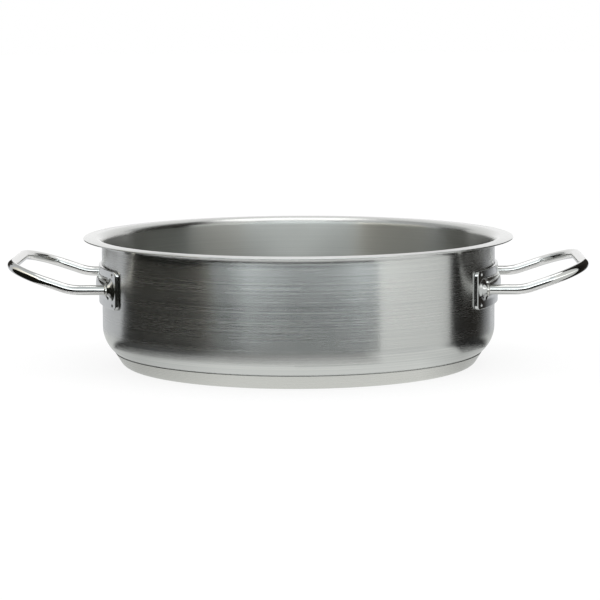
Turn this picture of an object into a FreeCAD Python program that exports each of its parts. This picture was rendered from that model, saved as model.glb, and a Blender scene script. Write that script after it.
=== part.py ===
import FreeCAD, Part
import math
import os

# A low, wide braiser in stainless steel, in millimetres and degrees.
# It stands on Z zero with its axis on Z. The two handles lie along X, and X is the longest way.

# Pan body, drawn from one sheet
mouth_diameter = 320.0
body_sheet = 1.0
overall_height = 105.5
body_corner_radius = 26.5
rim_bend_radius = 5.5
rim_reach = 15.0
rim_droop_angle = 3.0

# Sandwich base: an aluminium disc brazed to the pan and closed by a pressed cap
core_thickness = 5.0
braze_thickness = 0.15
cap_sheet = 0.8
cap_corner_radius = 8.2
cap_flare_angle = 32.0
cap_lip_angle = 38.0
cap_lip_gap = 0.5

# Handle tubes, level at the wall and then rising outwards
tube_diameter = 8.0
tube_wall = 1.0
handle_level = 68.2
leg_spacing = 134.0
handle_reach = 73.8
knee_reach = 19.5
knee_bend_radius = 40.0
rise_angle = 18.7
corner_bend_radius = 33.0
tube_end_gap = 0.8
tube_hole_clearance = 0.1
foot_bead_radius = 1.3
foot_bead_gap = 0.1

# Pressed brackets, shallow pans turned against the wall
bracket_sheet = 1.2
bracket_end_margin = 11.0
bracket_height = 31.0
bracket_depth = 2.6
bracket_wall_gap = 0.3
bracket_edge_radius = 0.7
bracket_corner_radius = 4.0
ridge_end_margin = 4.0
ridge_width = 17.0
ridge_height = 2.5
ridge_end_swell = 0.1
foot_width = 13.0
foot_height = 4.4
dimple_width = 3.0
dimple_floor_width = 1.6
dimple_end_inset = 7.0
dimple_edge_inset = 3.2

# Measures that follow from the sizes above
same_place = 1e-4
origin = FreeCAD.Vector(0, 0, 0)
along_x = FreeCAD.Vector(1, 0, 0)
along_y = FreeCAD.Vector(0, 1, 0)
along_z = FreeCAD.Vector(0, 0, 1)

wall_inside = mouth_diameter / 2
wall_outside = wall_inside + body_sheet
pan_underside = cap_sheet + core_thickness + 2 * braze_thickness
pan_flat_radius = wall_outside - body_corner_radius
pan_corner = FreeCAD.Vector(pan_flat_radius, 0, pan_underside + body_corner_radius)

bracket_face = wall_outside + bracket_depth
tube_radius = tube_diameter / 2
leg_offset = leg_spacing / 2
bracket_half_width = leg_offset + bracket_end_margin


def on_circle(centre, radius, angle):
    """A point of the XZ plane, at an angle from +X towards +Z."""
    turn = math.radians(angle)
    return centre + FreeCAD.Vector(radius * math.cos(turn), 0, radius * math.sin(turn))


def line(first, last):
    return Part.LineSegment(first, last).toShape()


def arc(centre, radius, first_angle, last_angle):
    """An arc of the XZ plane between two angles."""
    middle_angle = (first_angle + last_angle) / 2
    ends = [on_circle(centre, radius, a) for a in (first_angle, middle_angle, last_angle)]
    return Part.Arc(*ends).toShape()


def chained(*edges):
    """Edges in a row, with a line across each break and back to the start."""
    joined = []
    for edge, after in zip(edges, edges[1:] + edges[:1]):
        joined.append(edge)
        end = edge.valueAt(edge.LastParameter)
        start = after.valueAt(after.FirstParameter)
        if end.distanceToPoint(start) > same_place:
            joined.append(line(end, start))
    return Part.Wire(joined)


def turned(*edges):
    """The solid that a closed outline in the XZ plane sweeps round the Z axis."""
    return Part.Face(chained(*edges)).revolve(origin, along_z, 360)


def pan_body():
    """Floor, corner, wall and flared rim, all of one sheet."""
    upper_bend_radius = rim_bend_radius + body_sheet
    bend = FreeCAD.Vector(wall_outside + rim_bend_radius, 0, overall_height - upper_bend_radius)
    flange_angle = 90 - rim_droop_angle
    outwards = on_circle(origin, 1, -rim_droop_angle)
    flange_start = on_circle(bend, rim_bend_radius + body_sheet / 2, flange_angle)
    edge_x = wall_outside + rim_reach - body_sheet / 2
    edge = flange_start + outwards * ((edge_x - flange_start.x) / outwards.x)
    return turned(
        line(FreeCAD.Vector(0, 0, pan_underside), FreeCAD.Vector(pan_flat_radius, 0, pan_underside)),
        arc(pan_corner, body_corner_radius, -90, 0),
        arc(bend, rim_bend_radius, 180, flange_angle),
        arc(edge, body_sheet / 2, flange_angle - 180, flange_angle),
        arc(bend, upper_bend_radius, flange_angle, 180),
        arc(pan_corner, body_corner_radius - body_sheet, 0, -90),
        line(
            FreeCAD.Vector(pan_flat_radius, 0, pan_underside + body_sheet),
            FreeCAD.Vector(0, 0, pan_underside + body_sheet),
        ),
    )


def up_to_pan(start, direction, gap):
    """Where a line from below first comes within a gap of the pan's rounded corner."""
    reach = body_corner_radius + gap
    offset = start - pan_corner
    along = offset.dot(direction)
    run = -along - math.sqrt(along ** 2 - offset.dot(offset) + reach ** 2)
    return start + direction * run


def cap_corner_centre():
    """The base corner's centre: its flared side runs up to a point a lip angle round the pan's corner."""
    lip = on_circle(pan_corner, body_corner_radius + cap_lip_gap, cap_lip_angle - 90)
    flare = math.radians(cap_flare_angle)
    lip_rise = lip.z - cap_corner_radius
    inwards = (cap_corner_radius + lip_rise * math.sin(flare)) / math.cos(flare)
    return FreeCAD.Vector(lip.x - inwards, 0, cap_corner_radius)


cap_corner = cap_corner_centre()


def cap_side(radius):
    """The straight side of the base above its corner, from its start to the gap below the pan."""
    start = on_circle(cap_corner, radius, -cap_flare_angle)
    rising = on_circle(origin, 1, 90 - cap_flare_angle)
    return start, up_to_pan(start, rising, cap_lip_gap)


def base_cap():
    """A pressed dish whose flared lip stops under the pan's corner and leaves a shadow groove."""
    inner_radius = cap_corner_radius - cap_sheet
    outer_start, outer_end = cap_side(cap_corner_radius)
    inner_start, inner_end = cap_side(inner_radius)
    return turned(
        line(origin, FreeCAD.Vector(cap_corner.x, 0, 0)),
        arc(cap_corner, cap_corner_radius, -90, -cap_flare_angle),
        line(outer_start, outer_end),
        line(inner_end, inner_start),
        arc(cap_corner, inner_radius, -cap_flare_angle, -90),
        line(FreeCAD.Vector(cap_corner.x, 0, cap_sheet), FreeCAD.Vector(0, 0, cap_sheet)),
    )


def base_core():
    """The aluminium disc, one braze film clear of the cap below it and of the pan above it."""
    corner_radius = cap_corner_radius - cap_sheet - braze_thickness
    side_start, side_end = cap_side(corner_radius)
    towards_pan = side_end - pan_corner
    rim_angle = math.degrees(math.atan2(towards_pan.z, towards_pan.x))
    bottom = cap_sheet + braze_thickness
    top = pan_underside - braze_thickness
    return turned(
        line(FreeCAD.Vector(0, 0, bottom), FreeCAD.Vector(cap_corner.x, 0, bottom)),
        arc(cap_corner, corner_radius, -90, -cap_flare_angle),
        line(side_start, side_end),
        arc(pan_corner, body_corner_radius + braze_thickness, rim_angle, -90),
        line(FreeCAD.Vector(pan_flat_radius, 0, top), FreeCAD.Vector(0, 0, top)),
    )


def braze_film(radius, bottom):
    return Part.makeCylinder(radius, braze_thickness, FreeCAD.Vector(0, 0, bottom))


def bulge_radius(width, height):
    """The radius of a round bulge that stands a height off a face and is a width across on it."""
    return (width ** 2 / 4 + height ** 2) / (2 * height)


ridge_radius = bulge_radius(ridge_width, ridge_height)
foot_radius = bulge_radius(foot_width, foot_height)
foot_circle = bracket_face + foot_height - foot_radius
foot_angle = math.degrees(math.asin(leg_offset / foot_circle))
foot_centre_x = foot_circle * math.cos(math.radians(foot_angle))
feet = [FreeCAD.Vector(foot_centre_x, side * leg_offset, handle_level) for side in (-1, 1)]


def bracket_plate(inset):
    """A rounded plate on the wall's curve, an inset smaller all round and an inset below the face."""
    half_width = bracket_half_width - inset
    half_height = bracket_height / 2 - inset
    corner = bracket_corner_radius - inset
    block = Part.makeBox(
        2 * bracket_face,
        2 * half_width,
        2 * half_height,
        FreeCAD.Vector(0, -half_width, handle_level - half_height),
    )
    outward = [e for e in block.Edges if abs(e.tangentAt(e.FirstParameter).x) > 1 - same_place]
    block = block.makeFillet(corner, outward)
    drum = Part.makeCylinder(bracket_face - inset, overall_height)
    return block.common(drum)


def bracket_bulges(inset):
    """The ridge between the tube feet and the two domed feet, an inset thinner all round."""
    ridge_circle = bracket_face + ridge_height - ridge_radius
    half_turn = math.degrees(math.asin((leg_offset - ridge_end_margin) / ridge_circle))
    middle = FreeCAD.Vector(ridge_circle, 0, handle_level)
    round_section = Part.makeCircle(ridge_radius - inset, middle, along_y)
    ridge = Part.Face(Part.Wire(round_section)).revolve(origin, along_z, 2 * half_turn)
    ridge.rotate(origin, along_z, -half_turn)
    bulges = [ridge]
    for turn, foot in zip((-half_turn, half_turn), feet):
        ridge_end = Part.makeSphere(ridge_radius + ridge_end_swell - inset, middle)
        ridge_end.rotate(origin, along_z, turn)
        bulges += [ridge_end, Part.makeSphere(foot_radius - inset, foot)]
    return bulges


def dimples():
    """The radial line of each dimple, as a point on the pan's axis and a way out."""
    turn = math.asin(bracket_half_width / bracket_face) - dimple_end_inset / bracket_face
    rise = bracket_height / 2 - dimple_edge_inset
    places = []
    for side in (-1, 1):
        for level in (-1, 1):
            centre = FreeCAD.Vector(0, 0, handle_level + level * rise)
            places.append((centre, FreeCAD.Vector(math.cos(turn), side * math.sin(turn), 0)))
    return places


def on_outer_face(edge):
    ends = [edge.valueAt(p) for p in (edge.FirstParameter, edge.LastParameter)]
    return all(abs(math.hypot(p.x, p.y) - bracket_face) < same_place for p in ends)


def bracket():
    """A pressed pan with a ridge, two domed feet with tube holes, and four welding dimples."""
    plate = bracket_plate(0)
    plate = plate.makeFillet(bracket_edge_radius, [e for e in plate.Edges if on_outer_face(e)])
    outer = plate.fuse(bracket_bulges(0))
    inner = bracket_plate(bracket_sheet).fuse(bracket_bulges(bracket_sheet))
    shell = outer.cut(inner)
    seat = wall_outside + bracket_wall_gap
    floor = seat + bracket_sheet
    depth = bracket_face - floor
    flare = dimple_width - dimple_floor_width / 2
    boss_radius = (dimple_width + bracket_sheet) / 2
    bosses = [Part.makeCylinder(boss_radius, floor, at, out) for at, out in dimples()]
    dents = [
        Part.makeCone(dimple_floor_width / 2, flare, 2 * depth, at + out * floor, out)
        for at, out in dimples()
    ]
    holes = [
        Part.makeCylinder(tube_radius + tube_hole_clearance, 2 * foot_radius, foot, along_x)
        for foot in feet
    ]
    drum = Part.makeCylinder(seat, overall_height)
    return shell.fuse(bosses).cut(dents + holes + [drum])


def spot_welds():
    """Four nuggets that join the dimples' floors to the wall."""
    ring = Part.makeCylinder(wall_outside + bracket_wall_gap, overall_height)
    ring = ring.cut(Part.makeCylinder(wall_outside, overall_height))
    pegs = [
        Part.makeCylinder(dimple_floor_width / 2, 2 * wall_outside, at, out)
        for at, out in dimples()
    ]
    return Part.makeCompound([ring.common(peg) for peg in pegs])


def foot_welds():
    """A weld bead in the corner between each tube and its domed foot, a hair clear of both."""
    corner_run = math.sqrt(foot_radius ** 2 - tube_radius ** 2)
    clear = bracket_bulges(-foot_bead_gap)
    beads = []
    for foot in feet:
        bead = Part.makeTorus(tube_radius, foot_bead_radius, foot + along_x * corner_run, along_x)
        tube = Part.makeCylinder(tube_radius + foot_bead_gap, 2 * foot_radius, foot, along_x)
        beads.append(bead.cut(clear + [tube]))
    return Part.makeCompound(beads)


def handle_path():
    """Level leg, knee, rise, corner and half the grip bar, and the same mirrored back."""
    half_rise = math.radians(rise_angle) / 2
    rising = FreeCAD.Vector(math.cos(2 * half_rise), 0, math.sin(2 * half_rise))
    leg_end_x = math.sqrt(wall_outside ** 2 - (leg_offset - tube_radius) ** 2) + tube_end_gap
    leg_end = FreeCAD.Vector(leg_end_x, -leg_offset, handle_level)
    knee = FreeCAD.Vector(wall_outside + knee_reach, -leg_offset, handle_level)
    knee_run = knee_bend_radius * math.tan(half_rise)
    knee_sag = knee_bend_radius * (1 / math.cos(half_rise) - 1)
    knee_inwards = FreeCAD.Vector(-math.sin(half_rise), 0, math.cos(half_rise))
    bar_x = wall_outside + handle_reach - tube_radius
    corner = knee + rising * ((bar_x - knee.x) / rising.x)
    corner_sag = corner_bend_radius * (math.sqrt(2) - 1)
    corner_inwards = (along_y - rising) / math.sqrt(2)
    knee_points = [knee - along_x * knee_run, knee + knee_inwards * knee_sag, knee + rising * knee_run]
    corner_points = [
        corner - rising * corner_bend_radius,
        corner + corner_inwards * corner_sag,
        corner + along_y * corner_bend_radius,
    ]
    near = [line(leg_end, knee_points[0]), Part.Arc(*knee_points).toShape()]
    near += [line(knee_points[2], corner_points[0]), Part.Arc(*corner_points).toShape()]
    far = [edge.mirror(origin, along_y) for edge in near]
    bar_end = FreeCAD.Vector(corner_points[2])
    bar_end.y = -bar_end.y
    return Part.Wire(near + [line(corner_points[2], bar_end)] + far[::-1])


def handle():
    """A bent tube, its ends open inside the bracket's feet."""
    path = handle_path()
    start = path.OrderedVertexes[0].Point

    def rod(radius):
        section = Part.Wire(Part.makeCircle(radius, start, along_x))
        return path.makePipeShell([section], True, False)

    return rod(tube_radius).cut(rod(tube_radius - tube_wall))


def on_left(shape):
    """The same piece on the other side of the pan."""
    copy = shape.copy()
    copy.rotate(origin, along_z, 180)
    return copy


def main():
    pieces = {
        "pot_body": pan_body(),
        "base_core": base_core(),
        "base_cap": base_cap(),
        "upper_braze": braze_film(pan_flat_radius, pan_underside - braze_thickness),
        "lower_braze": braze_film(cap_corner.x, cap_sheet),
    }
    right_side = {
        "bracket": bracket(),
        "handle": handle(),
        "handle_welds": foot_welds(),
        "spot_welds": spot_welds(),
    }
    for name, shape in right_side.items():
        pieces["right_" + name] = shape
        pieces["left_" + name] = on_left(shape)
    os.makedirs("parts", exist_ok=True)
    for name, shape in pieces.items():
        shape.exportStep("parts/" + name + ".step")
        print(name, len(shape.Solids), "solids", round(shape.Volume, 2), "mm3, valid", shape.isValid())


main()
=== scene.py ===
# %% [markdown]
# # A stainless steel braiser
#
# The braiser is a low pan of drawn sheet with a thick base and two bent tube handles. Its solids come
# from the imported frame. This lesson puts finely divided surfaces over the ones that show, because brushed
# and polished steel give away every facet, and then lights them like a product on a small white table.

import bmesh
import bpy
import numpy as np
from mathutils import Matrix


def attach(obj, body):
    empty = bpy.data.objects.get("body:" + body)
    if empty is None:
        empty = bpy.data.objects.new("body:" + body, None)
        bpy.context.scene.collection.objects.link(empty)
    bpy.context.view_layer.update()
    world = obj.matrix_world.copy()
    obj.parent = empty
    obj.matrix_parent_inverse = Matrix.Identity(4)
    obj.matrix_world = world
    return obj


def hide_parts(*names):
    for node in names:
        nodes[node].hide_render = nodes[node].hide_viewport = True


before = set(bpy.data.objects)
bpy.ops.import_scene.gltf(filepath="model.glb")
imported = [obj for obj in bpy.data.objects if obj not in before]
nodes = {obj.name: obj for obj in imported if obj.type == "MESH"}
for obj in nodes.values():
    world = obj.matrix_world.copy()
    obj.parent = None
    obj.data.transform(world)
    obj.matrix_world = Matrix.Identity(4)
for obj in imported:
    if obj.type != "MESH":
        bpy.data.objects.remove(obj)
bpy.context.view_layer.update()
metres = 0.001

# %% [markdown]
# ## The measures
#
# These are the sizes of the real pan in millimetres, the same ones that its solids have. A millimetre is
# worked into metres where a shape becomes a mesh.

# %% Sizes in millimetres
mouth_diameter = 320.0
body_sheet = 1.0
overall_height = 105.5
body_corner_radius = 26.5
rim_bend_radius = 5.5
rim_reach = 15.0
rim_droop = np.radians(3.0)

core_thickness = 5.0
braze_thickness = 0.15
cap_sheet = 0.8
cap_corner_radius = 8.2
cap_flare = np.radians(32.0)
cap_lip_angle = np.radians(38.0)
cap_lip_gap = 0.5

tube_diameter = 8.0
tube_wall = 1.0
handle_level = 68.2
leg_spacing = 134.0
handle_reach = 73.8
knee_reach = 19.5
knee_bend_radius = 40.0
handle_rise = np.radians(18.7)
corner_bend_radius = 33.0
tube_end_gap = 0.8
bead_radius = 1.3

bracket_end_margin = 11.0
bracket_height = 31.0
bracket_depth = 2.6
bracket_wall_gap = 0.3
bracket_edge_radius = 0.7
bracket_corner_radius = 4.0
ridge_end_margin = 4.0
ridge_width = 17.0
ridge_height = 2.5
ridge_blend = 0.9
foot_width = 13.0
foot_height = 4.4
foot_blend = 0.6
dimple_width = 3.0
dimple_floor_width = 1.6
dimple_depth = 1.1
dimple_end_inset = 7.0
dimple_edge_inset = 3.2

mouth_radius = mouth_diameter / 2
wall_outside = mouth_radius + body_sheet
pan_underside = cap_sheet + core_thickness + 2 * braze_thickness
print("wall radius", wall_outside, "mm, pan underside at", pan_underside, "mm")

# %% [markdown]
# ## From a grid of points to a mesh
#
# Every new surface here is a grid: one parameter runs along the rows, the other along the columns, and
# numpy works out all the points at once. A grid may close on itself either way. The face corners get a UV
# map of real lengths, so that a finish can follow the surface. Rows that shrink to one point at the axis
# leave doubles, and those are merged.

# %% Rows of values
def spread(start, stop, count):
    """Evenly spaced values, both ends included."""
    return np.linspace(start, stop, count)


def full_turn(count, closed=False):
    """Angles from zero in count even steps round a full turn. A closed row ends with the full turn itself."""
    return np.arange(count + closed) * 2 * np.pi / count


def run_lengths(points):
    """Distance walked along a row of points, in their own unit, from zero at the first."""
    steps = np.linalg.norm(np.diff(points, axis=0), axis=1)
    return np.concatenate([[0.0], np.cumsum(steps)])


print("a turn in four steps, in degrees:", np.degrees(full_turn(4, closed=True)))


# %% Grid to mesh
same_place = 1e-7


def surface(name, points, across, along, close_rows=False, close_columns=False, crease=40.0):
    """A mesh piece from an array of points in mm, rows by columns by three.
    Face (i, j) joins points i and i + 1 of columns j and j + 1, and wraps where the grid closes.
    across and along are the UV lengths in mm of the columns and rows, with one more entry where closed.
    Edges that turn by more than the crease, in degrees, stay sharp."""
    rows, columns = points.shape[:2]
    i = np.arange(rows if close_rows else rows - 1)[:, None]
    j = np.arange(columns if close_columns else columns - 1)[None, :]
    corners = [(i + a, j + b) for a, b in ((0, 0), (0, 1), (1, 1), (1, 0))]
    faces = np.stack([(a % rows) * columns + b % columns for a, b in corners], -1).reshape(-1, 4)
    uv = np.stack([np.stack([across[b + 0 * a], along[a + 0 * b]], -1) for a, b in corners], 2)
    mesh = bpy.data.meshes.new(name)
    mesh.from_pydata((points.reshape(-1, 3) * metres).tolist(), [], faces.tolist())
    layer = mesh.uv_layers.new(name="lengths")
    layer.data.foreach_set("uv", (uv * metres).astype(np.float32).ravel())
    shape = bmesh.new()
    shape.from_mesh(mesh)
    bmesh.ops.remove_doubles(shape, verts=shape.verts, dist=same_place)
    bmesh.ops.recalc_face_normals(shape, faces=shape.faces)
    shape.to_mesh(mesh)
    shape.free()
    mesh.shade_smooth()
    mesh.set_sharp_from_angle(angle=np.radians(crease))
    piece = bpy.data.objects.new(name, mesh)
    bpy.context.scene.collection.objects.link(piece)
    print(name, "has", len(mesh.polygons), "faces")
    return piece


# %% Profiles and turning
def arc(centre, radius, first, last, count):
    """Points on a circle of the (radius, height) plane: centre + radius (cos a, sin a).
    The angle a goes from first to last."""
    a = spread(first, last, count)
    return np.stack([centre[0] + radius * np.cos(a), centre[1] + radius * np.sin(a)], -1)


def line(first, last, count):
    """Points on a straight run between two points of the (radius, height) plane."""
    t = spread(0.0, 1.0, count)[:, None]
    return np.array(first) * (1 - t) + np.array(last) * t


def turned(name, profile, count=384):
    """A closed profile (r, z) carried round the axis: x = r sin a, y = -r cos a, z = z."""
    a = full_turn(count)
    r, z = profile[:, 0, None], profile[:, 1, None]
    points = np.stack([r * np.sin(a), -r * np.cos(a), z + 0 * a], -1)
    across = wall_outside * full_turn(count, closed=True)
    return surface(name, points, across, run_lengths(profile), close_columns=True)


# %% [markdown]
# ## The pan
#
# The real pan is drawn from one sheet: a flat floor, a rounded corner, a straight wall, and a rim that is
# rolled outwards to pour cleanly. A turned profile is the exact shape of such a drawing, so the profile
# goes along the outside from the axis, round the rim's edge, and back inside to the axis.

# %% Places on the pan's profile
quarter = np.pi / 2
pan_corner = np.array([wall_outside - body_corner_radius, pan_underside + body_corner_radius])
inner_corner_radius = body_corner_radius - body_sheet
floor_top = pan_underside + body_sheet
upper_bend_radius = rim_bend_radius + body_sheet
rim_bend = np.array([wall_outside + rim_bend_radius, overall_height - upper_bend_radius])
flange_angle = quarter - rim_droop
bend_end = np.array([np.cos(flange_angle), np.sin(flange_angle)])
flange_start = rim_bend + (rim_bend_radius + body_sheet / 2) * bend_end
flange_way = np.array([np.cos(rim_droop), -np.sin(rim_droop)])
edge_x = wall_outside + rim_reach - body_sheet / 2
rim_edge = flange_start + flange_way * ((edge_x - flange_start[0]) / flange_way[0])
print("rim edge at radius and height", rim_edge.round(2), "mm")

# %% The pan
flat_steps, corner_steps, wall_steps, bend_steps, edge_steps = 12, 28, 10, 16, 10
pan_profile = np.concatenate([
    line((0, pan_underside), (pan_corner[0], pan_underside), flat_steps)[:-1],
    arc(pan_corner, body_corner_radius, -quarter, 0, corner_steps),
    line((wall_outside, pan_corner[1]), (wall_outside, rim_bend[1]), wall_steps)[1:-1],
    arc(rim_bend, rim_bend_radius, np.pi, flange_angle, bend_steps),
    arc(rim_edge, body_sheet / 2, flange_angle - np.pi, flange_angle, edge_steps),
    arc(rim_bend, upper_bend_radius, flange_angle, np.pi, bend_steps),
    line((mouth_radius, rim_bend[1]), (mouth_radius, pan_corner[1]), wall_steps)[1:-1],
    arc(pan_corner, inner_corner_radius, 0, -quarter, corner_steps),
    line((pan_corner[0], floor_top), (0, floor_top), flat_steps)[1:],
])
pan = turned("pan", pan_profile)
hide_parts("pot_body")
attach(pan, "root")

# %% [markdown]
# ## The base cap
#
# A thin steel dish closes the aluminium disc under the pan. Its flared lip stops just short of the pan's
# corner, and the gap shows as a fine dark line all round. The lip needs crisp edges, so the surface keeps
# a crease wherever two faces meet at a large angle.

# %% Places on the cap's profile
lip_reach = body_corner_radius + cap_lip_gap
lip = pan_corner + lip_reach * np.array([np.sin(cap_lip_angle), -np.cos(cap_lip_angle)])
cap_inwards = (cap_corner_radius + (lip[1] - cap_corner_radius) * np.sin(cap_flare)) / np.cos(cap_flare)
cap_corner = np.array([lip[0] - cap_inwards, cap_corner_radius])
cap_inner_radius = cap_corner_radius - cap_sheet
rising = np.array([np.sin(cap_flare), np.cos(cap_flare)])
inner_start = cap_corner + cap_inner_radius * np.array([np.cos(cap_flare), -np.sin(cap_flare)])
to_start = inner_start - pan_corner
walk = -to_start @ rising
inner_run = walk - np.sqrt(walk ** 2 - to_start @ to_start + lip_reach ** 2)
inner_lip = inner_start + rising * inner_run
print("base flat is", round(2 * cap_corner[0], 1), "mm across, lip at", lip.round(2), "mm")

# %% The cap
cap_corner_steps, cap_inner_steps, cap_lip_steps, cap_floor_steps = 20, 12, 3, 4
cap_profile = np.concatenate([
    line((0, 0), (cap_corner[0], 0), flat_steps)[:-1],
    arc(cap_corner, cap_corner_radius, -quarter, -cap_flare, cap_corner_steps),
    line(lip, inner_lip, cap_lip_steps),
    arc(cap_corner, cap_inner_radius, -cap_flare, -quarter, cap_inner_steps),
    line((cap_corner[0], cap_sheet), (0, cap_sheet), cap_floor_steps)[1:],
])
cap = turned("base_dish", cap_profile)
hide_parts("base_cap")
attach(cap, "root")

# %% [markdown]
# ## The handles
#
# Each handle is one tube: level out of its bracket, bent up at a knee, bent round a corner to the grip
# bar, and the same back. A round section carried along that path is the natural surface. The direction
# square to the bend is known at every point, so the section never twists.

# %% The handle's centre line
leg_offset = leg_spacing / 2
tube_radius = tube_diameter / 2
bar_x = wall_outside + handle_reach - tube_radius
leg_steps, knee_steps, rise_steps, turn_steps = 8, 24, 5, 40


def handle_line():
    """Centre points, ways along and ways square to the bend of the near half, then of its mirror image.
    Knee: x = k + R sin t, z = h + R (1 - cos t).
    Corner, in the rising plane: q = c + R sin s, y = -w + R (1 - cos s)."""
    knee_run = knee_bend_radius * np.tan(handle_rise / 2)
    leg_end = np.sqrt(wall_outside ** 2 - (leg_offset - tube_radius) ** 2) + tube_end_gap
    knee_x = wall_outside + knee_reach
    q_bar = (bar_x - knee_x) / np.cos(handle_rise)
    q_corner = q_bar - corner_bend_radius
    leg_x = spread(leg_end, knee_x - knee_run, leg_steps)[:-1]
    t = spread(0.0, handle_rise, knee_steps)
    knee_curve = knee_x - knee_run + knee_bend_radius * np.sin(t)
    knee_rise = knee_bend_radius * (1 - np.cos(t))
    straight = spread(knee_run, q_corner, rise_steps)[1:-1]
    bend = spread(0, quarter, turn_steps)
    q = np.concatenate([straight, q_corner + corner_bend_radius * np.sin(bend)])
    s = np.concatenate([0 * straight, bend])
    x = np.concatenate([leg_x, knee_curve, knee_x + q * np.cos(handle_rise)])
    y = np.concatenate([0 * leg_x, 0 * t, corner_bend_radius * (1 - np.cos(s))]) - leg_offset
    z = np.concatenate([0 * leg_x, knee_rise, q * np.sin(handle_rise)]) + handle_level
    lean = np.concatenate([0 * leg_x, t, handle_rise + 0 * q])
    turn = np.concatenate([0 * leg_x, 0 * t, s])
    along = np.stack([np.cos(lean) * np.cos(turn), np.sin(turn), np.sin(lean) * np.cos(turn)], -1)
    upright = np.stack([-np.sin(lean), 0 * lean, np.cos(lean)], -1)
    near = np.stack([x, y, z], -1)
    mirror = np.array([1, -1, 1])
    return (
        np.concatenate([near, near[::-1] * mirror]),
        np.concatenate([along, along[::-1] * -mirror]),
        np.concatenate([upright, upright[::-1]]),
    )


line_points, line_along, line_upright = handle_line()
walked = run_lengths(line_points)
print("tube length", round(walked[-1], 1), "mm")


# %% Both handles
tube_sides = 40
sides = {"right": 1, "left": -1}


def tube(centres, along, upright, radius):
    """Points on a tube: centre + radius (cos a upright + sin a sideways), sideways square to both others."""
    sideways = np.cross(along, upright)
    a = full_turn(tube_sides)
    ring = np.cos(a)[None, :, None] * upright[:, None] + np.sin(a)[None, :, None] * sideways[:, None]
    return centres[:, None] + radius * ring


def on_side(points, side):
    """The points as they are on the right, or turned half round the axis for the left."""
    return points * np.array([side, side, 1])


tube_skin = tube(line_points, line_along, line_upright, tube_radius)
tube_bore = tube(line_points, line_along, line_upright, tube_radius - tube_wall)[::-1]
handle_points = np.concatenate([tube_skin, tube_bore])
handle_along = np.concatenate([walked, walked[-1] + walked, [2 * walked[-1]]])
handle_across = tube_radius * full_turn(tube_sides, closed=True)
handles = {}
for word, side in sides.items():
    shell = on_side(handle_points, side)
    handle = surface(word + "_tube", shell, handle_across, handle_along, close_rows=True, close_columns=True)
    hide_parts(word + "_handle")
    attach(handle, "root")
    handles[word] = handle

# %% [markdown]
# ## The brackets
#
# A bracket is pressed from sheet: a shallow rounded pan turned against the wall, a ridge between the two
# tube feet, a dome at each foot and a small dimple near each corner, where it is welded on. The press
# moves along X, so the shape is a height along X for every place on the YZ plane. The grid's corners are
# drawn round, and the heights of plate, ridge and domes flow into each other as pressed sheet does.

# %% Helpers for heights
def bulge_radius(width, height):
    """Radius of a round bulge of a given width and height: (w^2 / 4 + h^2) / 2h."""
    return (width ** 2 / 4 + height ** 2) / (2 * height)


def root(value):
    """Square root, with zero for values below zero."""
    return np.sqrt(np.maximum(value, 0))


def flow(a, b, reach):
    """The larger of two heights, rounded where they cross: max(a, b) + (reach - |a - b|)^2 / 4 reach."""
    return np.maximum(a, b) + np.maximum(reach - np.abs(a - b), 0) ** 2 / (4 * reach)


def ball(y, z, centre, radius):
    """Height of a ball above the YZ plane: cx + sqrt(r^2 - (y - cy)^2 - (z - cz)^2), and zero beside it."""
    inside = radius ** 2 - (y - centre[1]) ** 2 - (z - centre[2]) ** 2
    return np.where(inside > 0, centre[0] + root(inside), 0)


# %% Heights of the pressing
bracket_face = wall_outside + bracket_depth
half_width = leg_offset + bracket_end_margin
half_height = bracket_height / 2
ridge_radius = bulge_radius(ridge_width, ridge_height)
ridge_circle = bracket_face + ridge_height - ridge_radius
ridge_end = leg_offset - ridge_end_margin
foot_radius = bulge_radius(foot_width, foot_height)
foot_circle = bracket_face + foot_height - foot_radius
foot_x = np.sqrt(foot_circle ** 2 - leg_offset ** 2)
dimple_turn = np.arcsin(half_width / bracket_face) - dimple_end_inset / bracket_face
dimple_ramp = (dimple_width - dimple_floor_width) / 2
print("ridge radius", round(ridge_radius, 2), "mm, dome radius", round(foot_radius, 2), "mm")


def bracket_heights(y, z, edge):
    """The plate on the wall's curve with a rounded edge, the ridge, the domes, less the dimples.
    edge is how far a place lies inside the outline."""
    near_edge = np.maximum(bracket_edge_radius - edge, 0)
    rounding = root(bracket_edge_radius ** 2 - near_edge ** 2)
    plate = root(bracket_face ** 2 - y ** 2) - bracket_edge_radius + rounding
    across = root(ridge_radius ** 2 - (z - handle_level) ** 2)
    on_ridge = (across > 0) & (np.abs(y) < ridge_end)
    ridge = np.where(on_ridge, root((ridge_circle + across) ** 2 - y ** 2), 0)
    for side in (-1, 1):
        end = (np.sqrt(ridge_circle ** 2 - ridge_end ** 2), side * ridge_end, handle_level)
        ridge = np.maximum(ridge, ball(y, z, end, ridge_radius))
    height = flow(plate, ridge, ridge_blend)
    for side in (-1, 1):
        dome = ball(y, z, (foot_x, side * leg_offset, handle_level), foot_radius)
        height = flow(height, dome, foot_blend)
    for side in (-1, 1):
        for level in (-1, 1):
            along = (y - side * bracket_face * np.sin(dimple_turn)) / np.cos(dimple_turn)
            away = np.hypot(along, z - handle_level - level * (half_height - dimple_edge_inset))
            ramp = np.clip((dimple_width / 2 - away) / dimple_ramp, 0, 1)
            height = height - dimple_depth * ramp ** 2 * (3 - 2 * ramp)
    return height


# %% The brackets' grid
edge_step, length_step, height_step = 0.16, 0.5, 0.45


def packed_spread(half, margin, fine, coarse):
    """Values from -half to half: steps of about fine in each margin, of about coarse between them."""
    edge = spread(0, margin, int(round(margin / fine)) + 1)
    middle = spread(-half + margin, half - margin, int(round(2 * (half - margin) / coarse)) + 1)
    return np.concatenate([-half + edge[:-1], middle, half - margin + edge[1:]])


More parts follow.
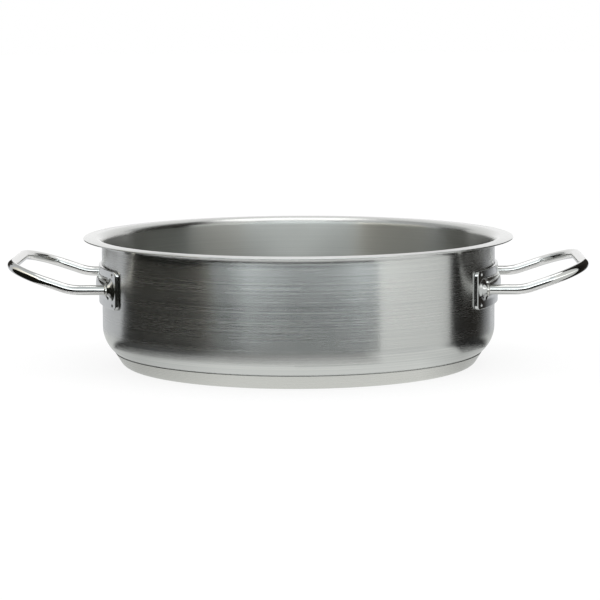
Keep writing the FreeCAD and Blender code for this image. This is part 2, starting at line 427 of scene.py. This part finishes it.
def bracket_grid():
    """Front face on a grid of y and z, with a skirt along X down to a back face on the wall's curve.
    A corner square (p, q) becomes a quarter disc: p sqrt(1 - q^2 / 2), q sqrt(1 - p^2 / 2)."""
    a = packed_spread(half_width, bracket_corner_radius, edge_step, length_step)[:, None]
    b = packed_spread(half_height, bracket_corner_radius, edge_step, height_step)[None, :]
    p = np.clip((np.abs(a) - half_width) / bracket_corner_radius + 1, 0, 1)
    q = np.clip((np.abs(b) - half_height) / bracket_corner_radius + 1, 0, 1)
    pull_a = p * np.sqrt(1 - q ** 2 / 2)
    pull_b = q * np.sqrt(1 - p ** 2 / 2)
    inner_a = np.minimum(np.abs(a), half_width - bracket_corner_radius)
    inner_b = np.minimum(np.abs(b), half_height - bracket_corner_radius)
    y = np.sign(a) * (inner_a + bracket_corner_radius * pull_a)
    z = np.sign(b) * (inner_b + bracket_corner_radius * pull_b)
    edge = np.maximum(bracket_corner_radius * (1 - np.hypot(pull_a, pull_b)), 0)
    front = bracket_heights(y, handle_level + z, edge)
    y, z = np.pad(y, 1, mode="edge"), np.pad(z, 1, mode="edge") + handle_level
    seat = np.sqrt((wall_outside + bracket_wall_gap) ** 2 - y ** 2)
    skirt = seat.copy()
    skirt[1:-1, 1:-1] = front
    face = np.stack([skirt, y, z], -1)
    back = np.stack([seat, y, z], -1)
    points = np.concatenate([face, back[::-1]])
    return points, np.pad(a[:, 0], 1, mode="edge"), np.pad(b[0], 1, mode="edge")


bracket_points, bracket_along, bracket_across = bracket_grid()
print("bracket grid of", bracket_along.size, "by", bracket_across.size, "points a face")

# %% Both brackets
bracket_crease = 60.0
both_ways = np.concatenate([bracket_along, bracket_along[::-1]])
brackets = {}
for word, side in sides.items():
    shell = on_side(bracket_points, side)
    plate = surface(word + "_pressing", shell, bracket_across, both_ways, crease=bracket_crease)
    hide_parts(word + "_bracket")
    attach(plate, "root")
    brackets[word] = plate

# %% [markdown]
# ## The weld beads
#
# A bead of weld runs round each tube where it leaves its dome. It is ground and polished with the tube, so
# only a trace of the welder's steps is left: the ring's own radius swells a very little, many times round.

# %% Rippled rings
bead_steps, bead_sides = 144, 16


def bead(y, ripples=22, ripple_share=0.03):
    """A torus round the tube, whose section has the radius r (1 + share cos(n a)).
    The angle a goes round the tube and b round the section."""
    a, b = full_turn(bead_steps)[:, None], full_turn(bead_sides)[None, :]
    thick = bead_radius * (1 + ripple_share * np.cos(ripples * a))
    out = tube_radius + thick * np.cos(b)
    x = foot_x + np.sqrt(foot_radius ** 2 - tube_radius ** 2) + thick * np.sin(b)
    return np.stack([x, y + out * np.cos(a), handle_level + out * np.sin(a)], -1)


bead_along = tube_radius * full_turn(bead_steps, closed=True)
bead_across = bead_radius * full_turn(bead_sides, closed=True)
beads = []
for word, side in sides.items():
    for place, y in {"near": -leg_offset, "far": leg_offset}.items():
        name = word + "_" + place + "_bead"
        shell = on_side(bead(y * side), side)
        ring = surface(name, shell, bead_across, bead_along, close_rows=True, close_columns=True)
        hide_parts(word + "_handle_welds")
        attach(ring, "root")
        beads.append(ring)

# %% [markdown]
# ## Finishes
#
# A finish starts from what the metal is and how its surface was made. Three small helpers do for all: one
# turns an sRGB hex colour into the linear values that a shader wants, one adds a node, and one starts a
# material.

# %% Helpers for finishes
def colour(hex_code):
    """Linear RGBA of an sRGB hex colour: c / 12.92 below 0.04045, else ((c + 0.055) / 1.055) ^ 2.4."""
    c = np.array([int(hex_code[k:k + 2], 16) for k in (1, 3, 5)]) / 255
    rgb = np.where(c <= 0.04045, c / 12.92, ((c + 0.055) / 1.055) ** 2.4)
    return (*rgb.tolist(), 1.0)


def add(tree, kind, inputs=None, **settings):
    """Adds one node: settings are its properties, and inputs maps the name or number of a socket to a value
    or to another socket."""
    node = tree.nodes.new(kind)
    for key, value in settings.items():
        setattr(node, key, value)
    for key, value in (inputs or {}).items():
        if isinstance(value, bpy.types.NodeSocket):
            tree.links.new(value, node.inputs[key])
        else:
            node.inputs[key].default_value = value
    return node


def new_finish(name):
    """An empty node material and its tree."""
    material = bpy.data.materials.new(name)
    material.use_nodes = True
    material.node_tree.nodes.clear()
    return material, material.node_tree


print("half-way sRGB grey is", round(colour("#808080")[0], 3), "in linear light")

# %% [markdown]
# ### Brushed stainless steel
#
# The pan spins against an abrasive belt, which leaves fine lines round it. Along the lines the steel stays
# nearly a mirror, and across them it is matt, so reflections keep their left and right edges and smear up
# and down. That is anisotropy, turned a quarter so that the smear is across the lines. The lines
# themselves are noise that is stretched round the pan and fine along its profile, which the UV map
# measures, and a second noise lets each line fade in and out. The rim is buffed smooth for pouring, and
# so is the lower corner, down to the dull scale that no belt reaches under the cap's lip. Real lines are a
# tenth of a millimetre wide. Here they are several times coarser, or they would not show.

# %% Measures of the brushing
buffed_roughness, buffed_tone = 0.15, "#CBCCCA"
scaled_roughness = 0.90
brush_anisotropy, quarter_rotation = 0.9, 0.25
roughness_swing = 0.03
line_stretch, fade_width = 20, 8
line_detail, line_grit = 1.0, 0.65
noise_middle, noise_low, noise_high = 0.5, 0.3, 0.7
fade_low, fade_high, faintest_line = 0.35, 0.65, 0.4
buffing_start, buffing_full = pan_corner[1] - 2.0, pan_corner[1] - 6.0
scale_start, scale_full = lip[1] + 0.9, lip[1] + 0.4
print("corner buffed below", round(buffing_start, 1), "mm, scale below", round(scale_start, 1), "mm")


# %% Brushed finish
def brushed_steel(name, dark, light, roughness, line_mm, streak_mm, line_depth_mm, corner=0.0):
    """Stainless steel with lines round the axis: line_mm apart, fading over streak_mm, line_depth_mm deep.
    Up the rim's bend, tone and roughness go over to those of buffed steel. By the share given as corner, the
    pan's lower corner is buffed too, and what lies under the cap's lip keeps its dull scale."""
    material, tree = new_finish(name)
    place = add(tree, "ShaderNodeTexCoord")
    flat = add(tree, "ShaderNodeSeparateXYZ", {0: place.outputs["Object"]})
    lengths = add(tree, "ShaderNodeSeparateXYZ", {0: place.outputs["UV"]})

    def stretched_noise(around_mm, along_mm):
        """Noise with features around_mm long round the pan and along_mm along its profile."""
        around, along = 1 / (around_mm * metres), 1 / (along_mm * metres)
        x = add(tree, "ShaderNodeMath", {0: flat.outputs["X"], 1: around}, operation="MULTIPLY")
        y = add(tree, "ShaderNodeMath", {0: flat.outputs["Y"], 1: around}, operation="MULTIPLY")
        v = add(tree, "ShaderNodeMath", {0: lengths.outputs["Y"], 1: along}, operation="MULTIPLY")
        spot = add(tree, "ShaderNodeCombineXYZ", {"X": x.outputs[0], "Y": y.outputs[0], "Z": v.outputs[0]})
        noise = add(tree, "ShaderNodeTexNoise", {
            "Vector": spot.outputs[0], "Scale": 1.0, "Detail": line_detail, "Roughness": line_grit,
        })
        return noise.outputs["Fac"]

    ruled = stretched_noise(line_stretch * streak_mm, line_mm)
    fading = stretched_noise(streak_mm, fade_width * line_mm)
    share = add(tree, "ShaderNodeMapRange", {0: fading, 1: fade_low, 2: fade_high, 3: faintest_line, 4: 1.0})
    off = add(tree, "ShaderNodeMath", {0: ruled, 1: noise_middle}, operation="SUBTRACT")
    lines = add(tree, "ShaderNodeMath", {
        0: off.outputs[0], 1: share.outputs[0], 2: noise_middle,
    }, operation="MULTIPLY_ADD")
    tone = add(tree, "ShaderNodeMix", {
        0: lines.outputs[0], 6: colour(dark), 7: colour(light),
    }, data_type="RGBA")
    brushed = add(tree, "ShaderNodeMapRange", {
        0: lines.outputs[0], 1: noise_low, 2: noise_high,
        3: roughness - roughness_swing, 4: roughness + roughness_swing,
    })
    rim = add(tree, "ShaderNodeMapRange", {
        0: flat.outputs["Z"], 1: rim_bend[1] * metres, 2: overall_height * metres,
    })
    shade = add(tree, "ShaderNodeMix", {
        0: rim.outputs[0], 6: tone.outputs[2], 7: colour(buffed_tone),
    }, data_type="RGBA")
    below = add(tree, "ShaderNodeMapRange", {
        0: flat.outputs["Z"], 1: buffing_start * metres, 2: buffing_full * metres, 3: 0.0, 4: corner,
    })
    buffed = add(tree, "ShaderNodeMath", {0: rim.outputs[0], 1: below.outputs[0]}, operation="MAXIMUM")
    smooth = add(tree, "ShaderNodeMix", {0: buffed.outputs[0], 2: brushed.outputs[0], 3: buffed_roughness})
    under = add(tree, "ShaderNodeMapRange", {
        0: flat.outputs["Z"], 1: scale_start * metres, 2: scale_full * metres, 3: 0.0, 4: corner,
    })
    rough = add(tree, "ShaderNodeMix", {0: under.outputs[0], 2: smooth.outputs[0], 3: scaled_roughness})
    relief = add(tree, "ShaderNodeBump", {
        "Strength": 1.0, "Distance": line_depth_mm * metres, "Height": lines.outputs[0],
    })
    steel = add(tree, "ShaderNodeBsdfPrincipled", {
        "Base Color": shade.outputs[2], "Metallic": 1.0,
        "Roughness": rough.outputs[0], "Normal": relief.outputs[0],
        "Anisotropic": brush_anisotropy, "Anisotropic Rotation": quarter_rotation,
    })
    add(tree, "ShaderNodeOutputMaterial", {"Surface": steel.outputs[0]})
    return material


# %% Three brushed steels
pan_steel = brushed_steel(
    "brushed_stainless_steel", "#BABCBC", "#DADAD7",
    roughness=0.26, line_mm=1.1, streak_mm=40.0, line_depth_mm=0.011, corner=1.0,
)
# The inside is the same sheet as the outside, and its satin finish is real, but its two tones are darker than
# the outside's: painted shade for the inside of the pan.
inner_steel_painted_shade = brushed_steel(
    "satin_stainless_steel_painted_shade", "#AAABA9", "#C0C0BC",
    roughness=0.31, line_mm=1.1, streak_mm=40.0, line_depth_mm=0.008,
)
base_steel = brushed_steel(
    "turned_stainless_steel", "#C4C4C1", "#D8D7D3",
    roughness=0.28, line_mm=1.0, streak_mm=40.0, line_depth_mm=0.006,
)
print("brushed finishes:", pan_steel.name, inner_steel_painted_shade.name, base_steel.name)


# %% Brushed pan and base
def faces_towards(mesh, target):
    """One flag a face: whether its normal points to the target's side, (target - centre) . normal > 0."""
    centres, normals = np.empty(3 * len(mesh.polygons)), np.empty(3 * len(mesh.polygons))
    mesh.polygons.foreach_get("center", centres)
    mesh.polygons.foreach_get("normal", normals)
    return ((target - centres.reshape(-1, 3)) * normals.reshape(-1, 3)).sum(1) > 0


pan.data.materials.append(pan_steel)
pan.data.materials.append(inner_steel_painted_shade)
inside = faces_towards(pan.data, np.array([0, 0, overall_height / 2 * metres]))
pan.data.polygons.foreach_set("material_index", inside.astype(np.int32))
cap.data.materials.append(base_steel)
print("brushed", cap.name, "and", pan.name, "with", int(inside.sum()), "faces inside")

# %% [markdown]
# ### Polished stainless steel
#
# Tubes and brackets are buffed until they mirror the room. A buffed surface is not perfect: a faint
# unevenness bends the reflections and leaves soft patches a little duller.

# %% Polished finish
patch_detail, wave_detail = 3.0, 1.0
patch_swing = 0.3


def polished_steel(name, dark, light, roughness, patch_mm, wave_mm, wave_depth_mm):
    """Stainless steel buffed to a mirror, with patches patch_mm wide and waves wave_mm wide."""
    material, tree = new_finish(name)
    place = add(tree, "ShaderNodeTexCoord")
    patches = add(tree, "ShaderNodeTexNoise", {
        "Vector": place.outputs["Object"], "Scale": 1 / (patch_mm * metres), "Detail": patch_detail,
    })
    waves = add(tree, "ShaderNodeTexNoise", {
        "Vector": place.outputs["Object"], "Scale": 1 / (wave_mm * metres), "Detail": wave_detail,
    })
    tone = add(tree, "ShaderNodeMix", {
        0: patches.outputs["Fac"], 6: colour(dark), 7: colour(light),
    }, data_type="RGBA")
    rough = add(tree, "ShaderNodeMapRange", {
        0: patches.outputs["Fac"], 1: noise_low, 2: noise_high,
        3: roughness * (1 - patch_swing), 4: roughness * (1 + patch_swing),
    })
    relief = add(tree, "ShaderNodeBump", {
        "Strength": 1.0, "Distance": wave_depth_mm * metres, "Height": waves.outputs["Fac"],
    })
    steel = add(tree, "ShaderNodeBsdfPrincipled", {
        "Base Color": tone.outputs[2], "Metallic": 1.0,
        "Roughness": rough.outputs[0], "Normal": relief.outputs[0],
    })
    add(tree, "ShaderNodeOutputMaterial", {"Surface": steel.outputs[0]})
    return material


# %% Polished handles, brackets and beads
tube_steel = polished_steel(
    "polished_stainless_tube", "#CFCFCD", "#DADAD8",
    roughness=0.10, patch_mm=9.0, wave_mm=14.0, wave_depth_mm=0.006,
)
bracket_steel = polished_steel(
    "polished_stainless_sheet", "#C9CACA", "#D6D7D6",
    roughness=0.16, patch_mm=7.0, wave_mm=10.0, wave_depth_mm=0.010,
)
weld_steel = polished_steel(
    "welded_stainless_steel", "#C0BFBB", "#D2D1CD",
    roughness=0.18, patch_mm=1.2, wave_mm=1.5, wave_depth_mm=0.006,
)
for word in sides:
    handles[word].data.materials.append(tube_steel)
    brackets[word].data.materials.append(bracket_steel)
for ring in beads:
    ring.data.materials.append(weld_steel)
print("polished", len(handles), "handles,", len(brackets), "brackets and", len(beads), "beads")

# %% [markdown]
# ### Rolled aluminium
#
# The disc in the base is rolled plate. Only its edge can be seen, deep in the gap under the pan. The braze
# films and the weld spots behind the brackets are hidden. The films are the same kind of soft, dull metal,
# and the spots are steel like the beads.

# %% Hidden metals
core_metal = polished_steel(
    "rolled_aluminium", "#9FA1A3", "#B9BBBC",
    roughness=0.42, patch_mm=3.0, wave_mm=4.0, wave_depth_mm=0.015,
)
braze_metal = polished_steel(
    "aluminium_braze", "#94938F", "#A8A7A2",
    roughness=0.50, patch_mm=2.0, wave_mm=2.0, wave_depth_mm=0.020,
)
hidden = {
    "base_core": core_metal, "upper_braze": braze_metal, "lower_braze": braze_metal,
    "right_spot_welds": weld_steel, "left_spot_welds": weld_steel,
}
for name, metal in hidden.items():
    nodes[name].data.materials.clear()
    nodes[name].data.materials.append(metal)
print("finished frame nodes:", sorted(hidden))

# %% [markdown]
# ## The floor and the table
#
# Polished metal is a picture of its surroundings. The pan stands on a small white table over a wide floor
# of the same paper. The paper's glow is what an eye or a mirror sees, and the rest of its white takes the
# light, so the pan's soft shadow stays on it. Mirrors see the table but not the floor beyond it.

# %% White paper
def flat_disc(name, radius, z, rings=6, count=128):
    """A disc of radius r at height z: x = r t sin a, y = -r t cos a, t from 0 to 1. Lengths are in mm."""
    a = full_turn(count)
    t = radius * spread(0.0, 1.0, rings)[:, None]
    points = np.stack([t * np.sin(a), -t * np.cos(a), z + 0 * t + 0 * a], -1)
    return surface(name, points, np.arange(count + 1.0), np.arange(rings + 0.0), close_columns=True)


def white_paper(name, glow, white):
    """White paper that keeps a shadow: a glow for eyes and mirrors, and a white that the lights shade."""
    material, tree = new_finish(name)
    path = add(tree, "ShaderNodeLightPath")
    seen = add(tree, "ShaderNodeMath", {
        0: path.outputs["Is Camera Ray"], 1: path.outputs["Is Glossy Ray"],
    }, operation="MAXIMUM")
    seen = add(tree, "ShaderNodeMath", {
        0: seen.outputs[0], 1: path.outputs["Is Transmission Ray"],
    }, operation="MAXIMUM")
    strength = add(tree, "ShaderNodeMath", {0: seen.outputs[0], 1: glow}, operation="MULTIPLY")
    light = add(tree, "ShaderNodeEmission", {"Color": colour("#FFFFFF"), "Strength": strength.outputs[0]})
    sheet = add(tree, "ShaderNodeBsdfDiffuse", {"Color": (white, white, white, 1.0)})
    both = add(tree, "ShaderNodeAddShader", {0: light.outputs[0], 1: sheet.outputs[0]})
    add(tree, "ShaderNodeOutputMaterial", {"Surface": both.outputs[0]})
    return material


# %% Floor and table
table_radius, table_level = 260.0, -0.05
floor_radius, floor_level = 9000.0, -0.2
paper = white_paper("white_paper", glow=0.84, white=0.17)
table = flat_disc("table_top", table_radius, table_level)
floor = flat_disc("floor", floor_radius, floor_level)
floor.visible_glossy = False
for sheet in (table, floor):
    sheet.data.materials.append(paper)

# %% [markdown]
# ## The studio
#
# All other things around the pan are seen by reflections alone, so the picture's own background stays
# white. A low louvre on the table hides the white from the wall, and its foil glows only on the sides where
# the wall is to look light. A flat ring next to the base dims the table at the left and right.

# %% Glowing cloth
def glow_finish(name, hex_code, first, last):
    """Cloth that glows evenly, or from a first strength to a last one along its second UV axis."""
    material, tree = new_finish(name)
    light = add(tree, "ShaderNodeEmission", {"Color": colour(hex_code), "Strength": first})
    if last != first:
        place = add(tree, "ShaderNodeTexCoord")
        run = add(tree, "ShaderNodeSeparateXYZ", {0: place.outputs["UV"]})
        strength = add(tree, "ShaderNodeMapRange", {0: run.outputs["Y"], 3: first, 4: last})
        tree.links.new(strength.outputs[0], light.inputs["Strength"])
    add(tree, "ShaderNodeOutputMaterial", {"Surface": light.outputs[0]})
    return material


def only_reflected(piece):
    """A studio piece that reflections see and that neither eye nor shadow does."""
    for ray in ("camera", "diffuse", "shadow", "transmission", "volume_scatter"):
        setattr(piece, "visible_" + ray, False)


# %% Louvre and ring
foil_white = "#F4F6F4"


def louvre(name, inner, outer, spacing, azimuths, heights, glows, foot=0.05, count=96):
    """A ribbon on edge, wound in a spiral: x = r sin a, y = -r cos a, and z from its foot to its height.
    r grows by the spacing each turn. Height and glow depend on the azimuth from the camera side, and the glow
    is kept as the second UV length."""
    turns = (outer - inner) / spacing
    share = spread(0.0, 1.0, int(turns * count))[:, None]
    a = 2 * np.pi * turns * share
    r = inner + (outer - inner) * share
    azimuth = np.degrees(np.arctan2(np.sin(a), np.cos(a)))[:, 0]
    top = np.interp(azimuth, azimuths, heights)[:, None]
    edge = np.array([[0, 1]])
    points = np.stack([r * np.sin(a) + 0 * edge, -r * np.cos(a) + 0 * edge, foot + (top - foot) * edge], -1)
    glow = np.interp(azimuth, azimuths, glows)
    piece = surface(name, points, np.arange(2.0), glow / metres)
    piece.data.materials.append(glow_finish(name + "_foil", foil_white, 0.0, 1.0))
    only_reflected(piece)


def table_ring(name, inner, outer, azimuths, glows, level=-0.02, count=96):
    """A flat ring just over the table: x = r sin a, y = -r cos a, with a from -180 to 180 degrees.
    Its glow depends on the azimuth from the camera side, and is kept as the second UV length."""
    azimuth = spread(-180.0, 180.0, count + 1)
    a, r = np.radians(azimuth)[:, None], np.array([[inner, outer]])
    points = np.stack([r * np.sin(a), -r * np.cos(a), level + 0 * r * a], -1)
    glow = np.interp(azimuth, azimuths, glows)
    piece = surface(name, points, np.arange(2.0), glow / metres)
    piece.data.materials.append(glow_finish(name + "_paper", foil_white, 0.0, 1.0))
    only_reflected(piece)


foil_places = (-104, -92, -86, -40, -26, 0, 26, 30, 64, 68, 92, 104)
foil_heights = (2.2, 2.2, 2.4, 2.4, 2.5, 2.5, 2.5, 2.4, 2.2, 2.4, 2.4, 2.2)
foil_glows = (0.75, 0.75, 0.05, 0.08, 0.34, 0.45, 0.46, 0.92, 0.88, 0.02, 0.03, 0.65)
foil_inner, foil_spacing = 168.0, 4.0
louvre("table_louvre", foil_inner, table_radius, foil_spacing, foil_places, foil_heights, foil_glows)
ring_places = (-180, -90, -62, -42, -26, 0, 42, 67, 90, 180)
ring_glows = (0.70, 0.66, 0.68, 0.84, 0.97, 1.10, 1.02, 0.68, 0.66, 0.70)
ring_inner, ring_outer = 141.0, 190.0
table_ring("table_shade", ring_inner, ring_outer, ring_places, ring_glows)

# %% [markdown]
# ### The screens
#
# In front, the studio is dark at table height, with windows above it that are brightest just over their
# sill, and a ceiling. A softbox stands to the right with a dark screen next to it. The back stays open for
# the white world, between two walls and dark flags. Each is a patch of a sphere round the pan, so its edges
# are angles, and those can be read off the reflections that they make.

# %% A screen
def screen(name, azimuths, lows, highs, hex_code, glow, end_glow=None, distance=470.0, centre=94.0, steps=72):
    """A patch of a sphere round the pan: azimuth from the camera side, elevation from lows to highs.
    x = d cos e sin a, y = -d cos e cos a, z = c + d sin e, angles in degrees, edges straight between ends.
    It glows evenly, or goes over to an end glow from its first azimuth to its last."""
    a = spread(azimuths[0], azimuths[-1], steps)
    low = np.interp(a, azimuths, lows)[:, None]
    high = np.interp(a, azimuths, highs)[:, None]
    e = np.radians(low + (high - low) * spread(0.0, 1.0, steps))
    a = np.radians(a)[:, None]
    points = np.stack([np.cos(e) * np.sin(a), -np.cos(e) * np.cos(a), np.sin(e) + centre / distance], -1)
    share = spread(0.0, 1.0 / metres, steps)
    piece = surface(name, distance * points, share, share)
    last = glow if end_glow is None else end_glow
    piece.data.materials.append(glow_finish(name + "_cloth", hex_code, glow, last))
    only_reflected(piece)


def panel(name, left, right, low, high, hex_code, glow, end_glow=None):
    """A screen with level edges."""
    screen(name, (left, right), (low, low), (high, high), hex_code, glow, end_glow)


# %% Screens in front
daylight, warm_light, white_wall, dark_wall = "#F4FBFD", "#FAF6EA", "#FAFCFF", "#5A5A50"
lowest, window_head, ceiling_end = -60, 32, 62
left_places = (-98, -86, -75, -62, -50, -42)
left_sill = (3, 11, 14.5, 17, 14, 7.5)
left_heads = [window_head] * len(left_places)
screen("left_window", left_places, left_sill, left_heads, warm_light, 0.80, 2.50)
dark_places = (-110, -98, -97, *left_places[1:])
dark_tops = (-20, -2, *left_sill)
screen("left_dark", dark_places, [lowest] * len(dark_places), dark_tops, dark_wall, 0.10)
sill_places = (-42, -33, -23, -11, 0, 14, 22, 30, 35, 40)
sill = (7.5, 5.5, 1.3, 3.1, 5.2, 4.8, 3.4, 1.2, 1.5, 1.6)
bright_band = 8
lintel = [level + bright_band for level in sill]
skirting_places, skirting_tops = (-42, -22, 40), (-40, -12, -12)
table_edge = np.interp(sill_places, skirting_places, skirting_tops)
screen("front_window", sill_places, sill, lintel, daylight, 4.0)
screen("upper_window", sill_places, lintel, [window_head] * len(sill), daylight, 1.2)
panel("left_ceiling", -98, -25, window_head, ceiling_end, daylight, 0.70)
panel("front_ceiling", -25, 25, window_head, ceiling_end, daylight, 1.25)
panel("right_ceiling", 25, 40, window_head, ceiling_end, daylight, 0.70)
screen("front_dark", sill_places, table_edge, sill, dark_wall, 0.10)
screen("front_skirting", skirting_places, [lowest] * len(skirting_places), skirting_tops, foil_white, 0.12)
screen("left_light", (-110, -98), (-20, -2), (60, 60), white_wall, 0.68)

# %% Screens at the right and the back
softbox_white, pale_ceiling, dark_cloth = "#FAFCFA", "#F0F2F2", "#5A5650"
highest, softbox_sill, softbox_lintel = 60, 1.6, 9.6
back_wall_top, back_ceiling_start = -4, 22
panel("right_softbox", 40, 84, lowest, softbox_sill, softbox_white, 0.74, 0.79)
panel("right_window", 40, 84, softbox_sill, softbox_lintel, softbox_white, 2.8, 1.0)
panel("right_upper", 40, 84, softbox_lintel, highest, softbox_white, 1.0, 0.75)
panel("right_dark", 84, 116, lowest, highest, dark_cloth, 0.06, 0.30)
panel("right_fade", 116, 133, lowest, back_wall_top, white_wall, 0.04, 0.55)
panel("right_flag", 116, 141, back_wall_top, highest, dark_cloth, 0.3)
panel("back_wall_right", 133, 160, lowest, back_wall_top, white_wall, 0.68)
panel("back_wall_left", 200, 250, lowest, back_wall_top, white_wall, 0.68)
panel("back_ceiling_right", 141, 160, back_ceiling_start, ceiling_end, pale_ceiling, 0.62)
panel("back_ceiling_left", 200, 250, back_ceiling_start, ceiling_end, pale_ceiling, 0.62)
panel("left_flag", 220, 250, back_wall_top, back_ceiling_start, dark_cloth, 0.3)

# %% [markdown]
# ## World, lamp and camera
#
# An even white world stands for the studio's walls and ceiling, and a wide lamp overhead gives the soft
# shadow under the pan. The camera stands about two metres off, a little above the rim and a degree to
# the right of straight ahead, with a long lens.

# %% Light
world = bpy.data.worlds.new("white_studio")
bpy.context.scene.world = world
world.use_nodes = True
sky = world.node_tree.nodes["Background"].inputs
sky["Color"].default_value = colour("#FFFFFF")
sky["Strength"].default_value = 1.0

lamp_width, lamp_watts, lamp_place = 1.2, 5.0, (0.1, -0.1, 1.6)
lamp = bpy.data.objects.new("overhead_lamp", bpy.data.lights.new("overhead_lamp", "AREA"))
lamp.data.size = lamp_width
lamp.data.energy = lamp_watts
lamp.location = lamp_place
bpy.context.scene.collection.objects.link(lamp)
print("a lamp of", lamp_watts, "W,", lamp_width, "m wide and", lamp_place[2], "m up")

# %% Camera
camera_distance, camera_height = 2.0596, 0.3118
camera_turn, camera_pitch, camera_roll = 0.021, 0.12572, 0.00426
image_pixels, focal_pixels, centre_pixel = 600, 2519.83, 298.542

sin_turn, cos_turn = np.sin(camera_turn), np.cos(camera_turn)
sin_pitch, cos_pitch = np.sin(camera_pitch), np.cos(camera_pitch)
ahead = np.array([-sin_turn * cos_pitch, cos_turn * cos_pitch, -sin_pitch])
level_right = np.array([cos_turn, sin_turn, 0.0])
level_up = np.cross(level_right, ahead)
right = np.cos(camera_roll) * level_right - np.sin(camera_roll) * level_up
up = np.sin(camera_roll) * level_right + np.cos(camera_roll) * level_up
place = np.array([camera_distance * sin_turn, -camera_distance * cos_turn, camera_height])
matrix = np.eye(4)
matrix[:3, :] = np.stack([right, up, -ahead, place], -1)

camera = bpy.data.objects.new("camera", bpy.data.cameras.new("camera"))
camera.matrix_world = matrix.T.tolist()
camera.data.lens = focal_pixels / image_pixels * camera.data.sensor_width
camera.data.shift_x = (image_pixels / 2 - centre_pixel) / image_pixels
bpy.context.scene.collection.objects.link(camera)
bpy.context.scene.camera = camera
bpy.context.scene.view_settings.view_transform = "Standard"
print("lens", round(camera.data.lens, 2), "mm, shift", round(camera.data.shift_x, 5))
